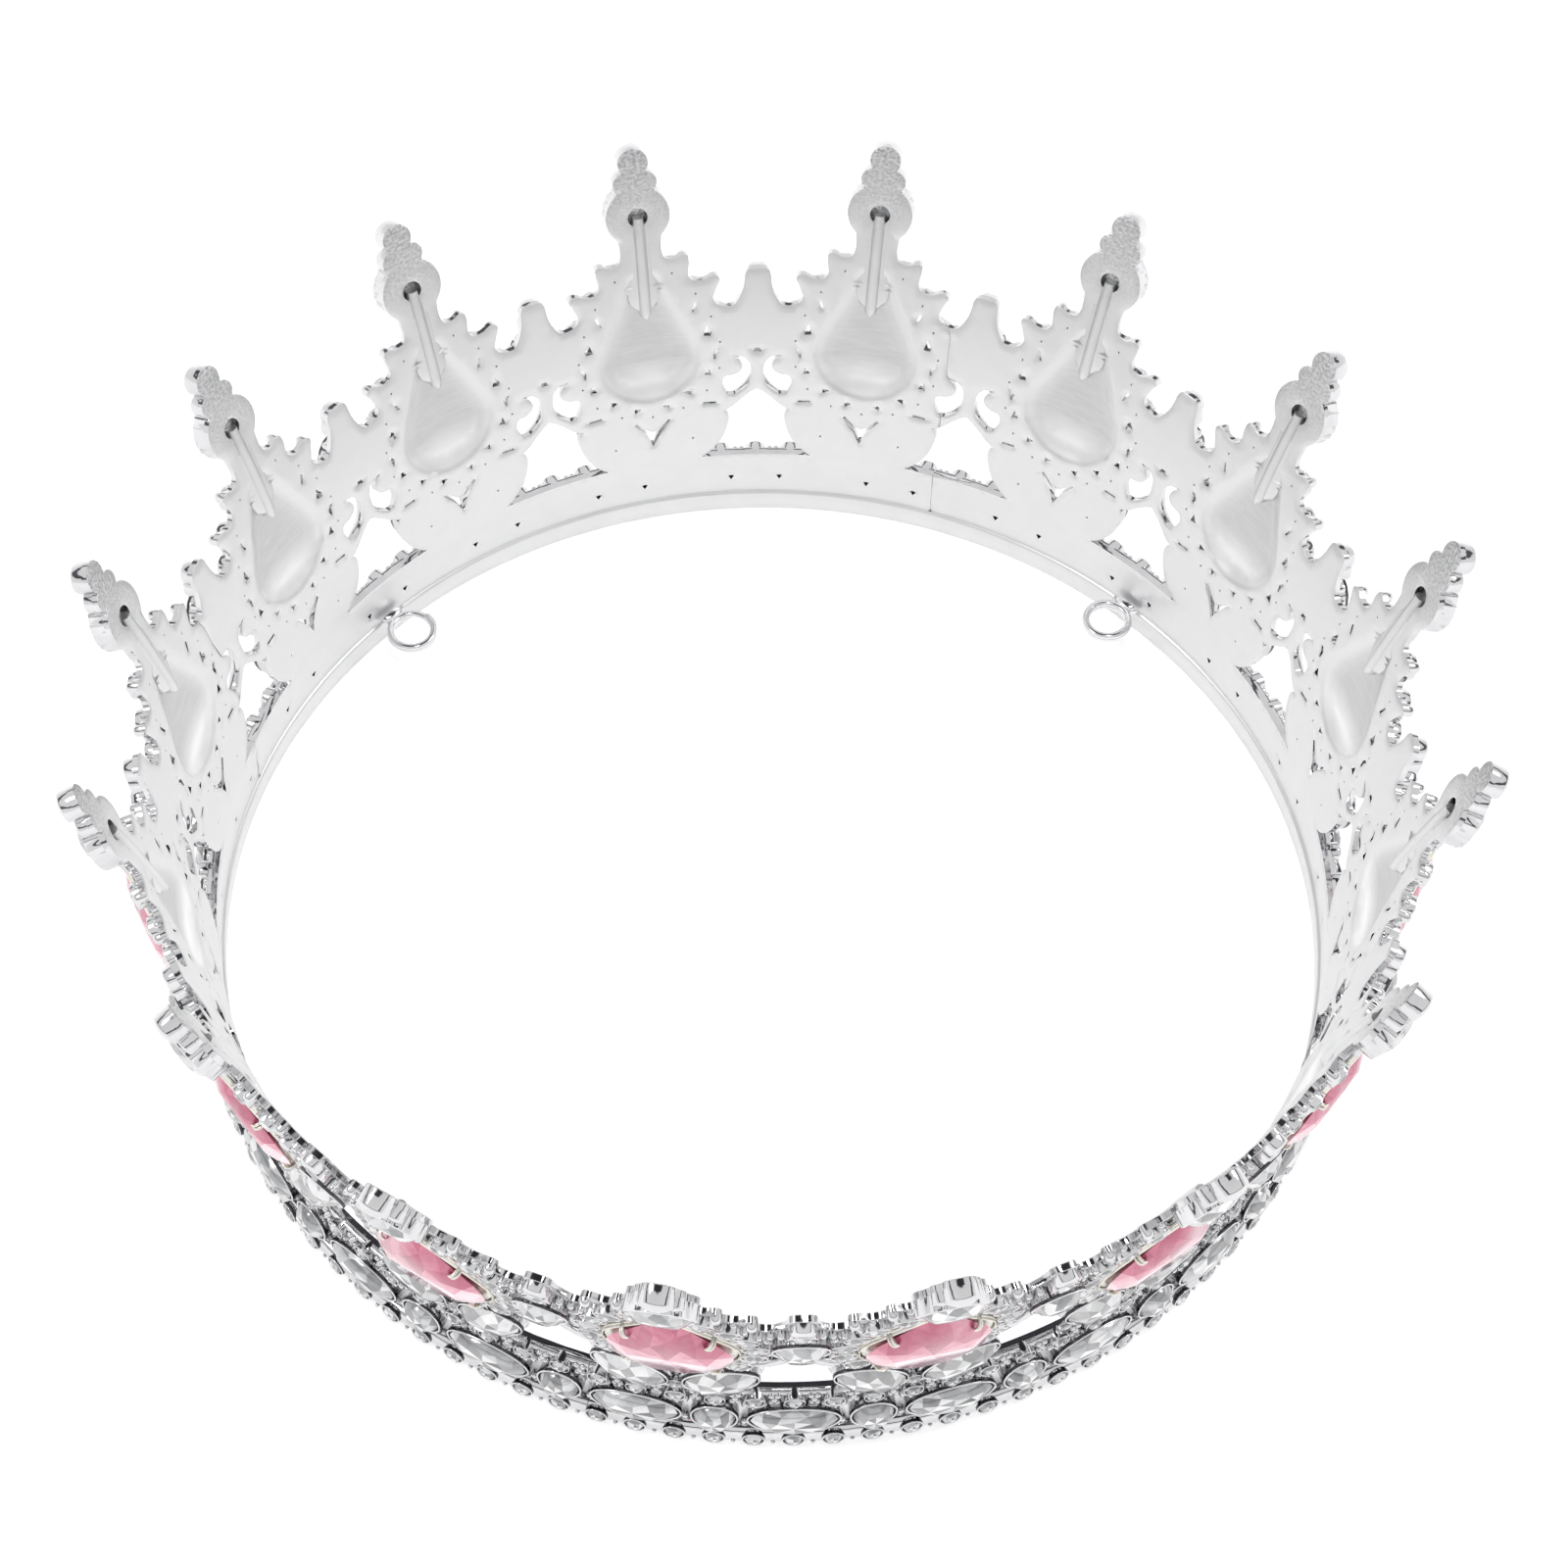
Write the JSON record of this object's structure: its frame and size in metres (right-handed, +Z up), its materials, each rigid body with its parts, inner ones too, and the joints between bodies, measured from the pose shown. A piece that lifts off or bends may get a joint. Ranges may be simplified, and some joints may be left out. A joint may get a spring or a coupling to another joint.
{
  "type": "crown",
  "caption": "Full-round openwork crown hair accessory with outward-leaning spires, claw-set pear stones, a stone-set base band and small wire hair loops inside.",
  "frame": {"origin": "on the crown's axis, at the level of the bottom rim it stands on", "axes": "+Z up the crown's axis towards the spires, the front faces -Y, +X to the wearer's left, the right side as seen from the front"},
  "size_m": [0.187, 0.187, 0.0638],
  "materials": {
    "cast_metal": "silver-plated casting, polished outside and satin inside",
    "setting_metal": "polished, slightly warmer silver",
    "strip_metal": "satin silver",
    "loop_metal": "bright silver wire",
    "pear_stone": "faceted rose-pink glass, foil backed",
    "clear_stone": "faceted clear glass, foil backed"
  },
  "bodies": {
    "root": {"cast_panel_1": "cast_metal", "cast_panel_2": "cast_metal", "cast_panel_3": "cast_metal", "cast_panel_4": "cast_metal", "spire_stone_01": "clear_stone", "claw_setting_01": "setting_metal", "pear_stone_01": "pear_stone", "spire_stone_02": "clear_stone", "claw_setting_02": "setting_metal", "pear_stone_02": "pear_stone", "spire_stone_03": "clear_stone", "claw_setting_03": "setting_metal", "pear_stone_03": "pear_stone", "spire_stone_04": "clear_stone", "claw_setting_04": "setting_metal", "pear_stone_04": "pear_stone", "spire_stone_05": "clear_stone", "claw_setting_05": "setting_metal", "pear_stone_05": "pear_stone", "spire_stone_06": "clear_stone", "claw_setting_06": "setting_metal", "pear_stone_06": "pear_stone", "spire_stone_07": "clear_stone", "claw_setting_07": "setting_metal", "pear_stone_07": "pear_stone", "spire_stone_08": "clear_stone", "claw_setting_08": "setting_metal", "pear_stone_08": "pear_stone", "spire_stone_09": "clear_stone", "claw_setting_09": "setting_metal", "pear_stone_09": "pear_stone", "spire_stone_10": "clear_stone", "claw_setting_10": "setting_metal", "pear_stone_10": "pear_stone", "spire_stone_11": "clear_stone", "claw_setting_11": "setting_metal", "pear_stone_11": "pear_stone", "spire_stone_12": "clear_stone", "claw_setting_12": "setting_metal", "pear_stone_12": "pear_stone", "spire_stone_13": "clear_stone", "claw_setting_13": "setting_metal", "pear_stone_13": "pear_stone", "spire_stone_14": "clear_stone", "claw_setting_14": "setting_metal", "pear_stone_14": "pear_stone", "spire_stone_15": "clear_stone", "claw_setting_15": "setting_metal", "pear_stone_15": "pear_stone", "spire_stone_16": "clear_stone", "claw_setting_16": "setting_metal", "pear_stone_16": "pear_stone", "base_strip": "strip_metal", "hair_loop_left": "loop_metal", "hair_loop_right": "loop_metal"}
  },
  "joints": []
}
